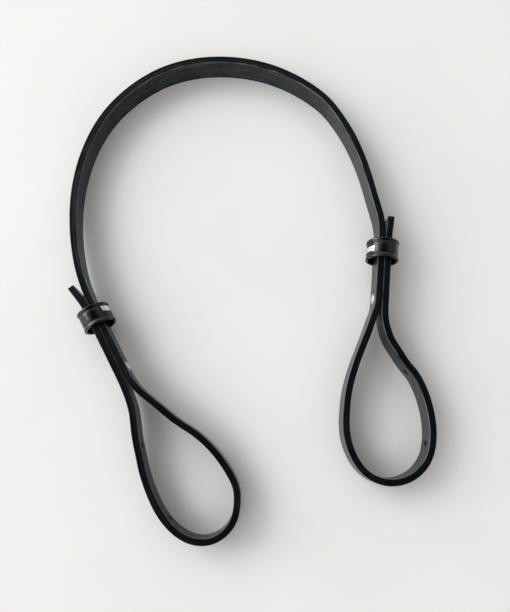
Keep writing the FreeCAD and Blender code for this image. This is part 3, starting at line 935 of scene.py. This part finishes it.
def rounded_box_section(low, high, half, radius):
    """Rounded rectangle from x = low to high and y = -half to half."""
    points = corner((low + radius, -half + radius), radius, 180, 270, 4)
    points += corner((high - radius, -half + radius), radius, 270, 360, 4)
    points += [(high + 0.03, -half / 3), (high + 0.03, half / 3)]
    points += corner((high - radius, half - radius), radius, 0, 90, 4)
    points += corner((low + radius, half - radius), radius, 90, 180, 4)
    return section_object("strip_section", points)


def make_keeper(side, inner, staple_at):
    """Round leather keeper and its staple, laid on the joint's axis."""
    body = f"keeper_{side}"
    heading = Vector(JOINTS[f"{body}_slide"]["axis"])
    along = heading * inner
    into_arch = Vector((-heading.y, heading.x, 0)) * inner
    tilt = math.radians(STAPLE_MIDDLE)
    out = into_arch * math.cos(tilt) + Vector((0, 0, 1)) * math.sin(tilt)
    lie = frame_of(out, along, keeper_middle(side))

    rounding = [0.93, 0.97, 0.99]       # the section shrinks a little at the slit
    ring = ring_line(KEEPER_BORE_R, SLIT_HALF, 360 - SLIT_HALF, 2.0)
    near = [ring[0].lerp(ring[1], share) for share in (0.0, 0.25, 0.6)]
    far = [ring[-1].lerp(ring[-2], share) for share in (0.6, 0.25, 0.0)]
    line = near + ring[1:-1] + far
    radii = rounding + [1.0] * (len(line) - 2 * len(rounding)) + rounding[::-1]
    opened_ring = line_object("ring", line, radii=radii)
    band = sweep(f"{body}_leather", opened_ring, band_section(), KEEPER, waviness=0.05, waves=90.0,
                 seed=7.0)
    band.data.transform(lie)
    add_piece(band, body, "keeper_leather", f"{body}_band")

    strip = ring_line(STAPLE_R, -STAPLE_HALF_SPAN, STAPLE_HALF_SPAN, 3.0, STAPLE_LEG)
    section = rounded_box_section(0.0, STAPLE_THICK, STAPLE_LENGTH / 2, 0.09)
    staple = sweep(f"{body}_clip", line_object("strip", strip), section, NICKEL)
    staple.data.transform(lie @ Matrix.Translation((0, 0, -inner * staple_at * MM)))
    add_piece(staple, body, "bright_nickel", f"{body}_staple")


def keeper_middle(side):
    """The keeper's middle: its plan point, at half the band's own height."""
    low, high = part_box(f"keeper_{side}_band")
    spot = place(on_keeper_axis(LEFT_KEEPER if side == "left" else RIGHT_KEEPER, 0), 0)
    spot.z = (low.z + high.z) / 2
    return spot


def stud_places(side):
    """A stud's middle and the unit vector from its screw towards its post's head."""
    joint = JOINTS[f"stud_{side}_turn"]
    axis = Vector(joint["axis"])
    return Vector(joint["pos_m"]), axis if side == "left" else -axis


def slot_object():
    """Cutter for the screwdriver slot across a stud's head."""
    shape = bmesh.new()
    bmesh.ops.create_cube(shape, size=1.0)
    mesh = mesh_from(shape, "slot")
    sizes = Matrix.Diagonal((4 * STUD_HEAD_R * MM, SLOT_WIDTH * MM, 2 * SLOT_DEPTH * MM, 1))
    mesh.transform(Matrix.Translation((0, 0, STUD_HEAD_H * MM)) @ sizes)
    return link("slot", mesh)


def make_stud(side):
    """Domed post on one face of the pair and its slotted screw on the other."""
    middle, to_post = stud_places(side)
    up = Vector((0, 0, 1))
    barrel_end = BARREL_SHORT - 2 * PAIR_HALF
    post = head_profile(STUD_HEAD_R, STUD_HEAD_H, STUD_RIM)
    post += [(BARREL_R, 0), (BARREL_R, barrel_end), (BARREL_BORE_R, barrel_end)]
    post += [(BARREL_BORE_R, -BARREL_FLOOR), (0, -BARREL_FLOOR)]
    piece = link(f"stud_{side}_cap", lathe(post))
    piece.data.transform(frame_of(up, to_post, middle + to_post * PAIR_HALF * MM))
    finish_mesh(piece.data, NICKEL)
    add_piece(piece, "strap", "bright_nickel", f"stud_{side}_post")

    shank_end = SHANK_SHORT - 2 * PAIR_HALF
    screw = with_shank(STUD_HEAD_R, STUD_HEAD_H, STUD_RIM, SCREW_R, shank_end)
    piece = link(f"stud_{side}_slotted_screw", lathe(screw))
    slot = slot_object()
    cut(piece, slot)
    bpy.data.objects.remove(slot)
    piece.data.transform(frame_of(up, -to_post, middle - to_post * (PAIR_HALF + CLEARANCE) * MM))
    finish_mesh(piece.data, NICKEL)
    add_piece(piece, f"screw_{side}", "bright_nickel", f"stud_{side}_screw")


def make_rivet():
    """The small two-piece rivet near the left tail's end."""
    _, heading = station(STRAP, RIVET_FROM_END)
    across = left_of(heading)
    axis = Vector((across.real, across.imag, 0))
    middle = box_middle("tail_rivet_post", "tail_rivet_cap")
    socket = RIVET_HEAD_H / 2
    tip = -2 * LEATHER - socket
    for name, way, end, node in (
        ("tail_rivet_base", -1, tip, "tail_rivet_post"), ("tail_rivet_top", 1, socket, "tail_rivet_cap"),
    ):
        profile = with_shank(RIVET_HEAD_R, RIVET_HEAD_H, RIVET_RIM, RIVET_SHANK_R, end)
        piece = link(name, lathe(profile, 56))
        piece.data.transform(frame_of(Vector((0, 0, 1)), axis * way, middle + axis * way * LEATHER * MM))
        finish_mesh(piece.data, NICKEL)
        add_piece(piece, "strap", "bright_nickel", node)


# ---------------------------------------------------------------- studio

def make_floor():
    shape = bmesh.new()
    bmesh.ops.create_grid(shape, x_segments=4, y_segments=4, size=1.5)
    mesh = mesh_from(shape, "table_top")
    mesh.transform(Matrix.Translation((0, 0, -TABLE_BELOW * MM)))
    mesh.materials.append(table_top())
    link("table_top", mesh)


def area_light(name, spot, target, size, power, colour):
    lamp = bpy.data.lights.new(name, "AREA")
    lamp.shape = "RECTANGLE"
    lamp.size, lamp.size_y = size
    lamp.energy = power
    lamp.color = colour
    made = bpy.data.objects.new(name, lamp)
    bpy.context.scene.collection.objects.link(made)
    away = Vector(spot) - Vector(target)
    made.matrix_world = Matrix.Translation(spot) @ away.to_track_quat("Z", "Y").to_matrix().to_4x4()


def make_room():
    """Walls, paler on the window's side, and a dim patch of ceiling overhead."""
    world = bpy.data.worlds.new("room")
    world.use_nodes = True
    tree = world.node_tree
    way = put(tree, "ShaderNodeSeparateXYZ", {0: put(tree, "ShaderNodeTexCoord")["Generated"]})
    walls = blend_colours(tree, fade(tree, way[0], -0.8, 0.8), (1.80, 1.78, 1.75, 1), (0.52, 0.515, 0.51, 1))
    colour = blend_colours(tree, fade(tree, way[2], 0.70, 0.95), walls, (0.04, 0.042, 0.046, 1))
    tree.links.new(colour, tree.nodes["Background"].inputs["Color"])
    bpy.context.scene.world = world


def make_lights():
    area_light("window", (-2.1, 0.85, 0.98), (0, 0, 0), (2.2, 1.5), 47.0, (0.985, 1.0, 0.995))


def make_camera():
    """Looking almost straight down from a hand's height, with a small shift to frame the strap."""
    distance = 232.8                    # of the lens above the table
    view_height = 1.224                 # of what the lens takes in, at a distance of 1
    spot = place(complex(1.0, -70.0), distance)
    tilt = math.radians(7.46)
    lean = math.radians(0.34)
    data = bpy.data.cameras.new("camera")
    data.sensor_width = 36.0
    data.lens = data.sensor_width / view_height
    data.shift_x = 0.005
    data.shift_y = 0.107
    data.clip_start = 0.01
    camera = bpy.data.objects.new("camera", data)
    bpy.context.scene.collection.objects.link(camera)
    turn = Matrix.Rotation(-lean, 4, "Y") @ Matrix.Rotation(tilt, 4, "X")
    camera.matrix_world = Matrix.Translation(spot) @ turn
    bpy.context.scene.camera = camera
    bpy.context.scene.view_settings.view_transform = "Standard"


make_camera()
make_floor()
make_room()
make_lights()
make_strap()
make_keeper("left", 1, LEFT_STAPLE_AT)
make_keeper("right", -1, RIGHT_STAPLE_AT)
make_stud("left")
make_stud("right")
make_rivet()
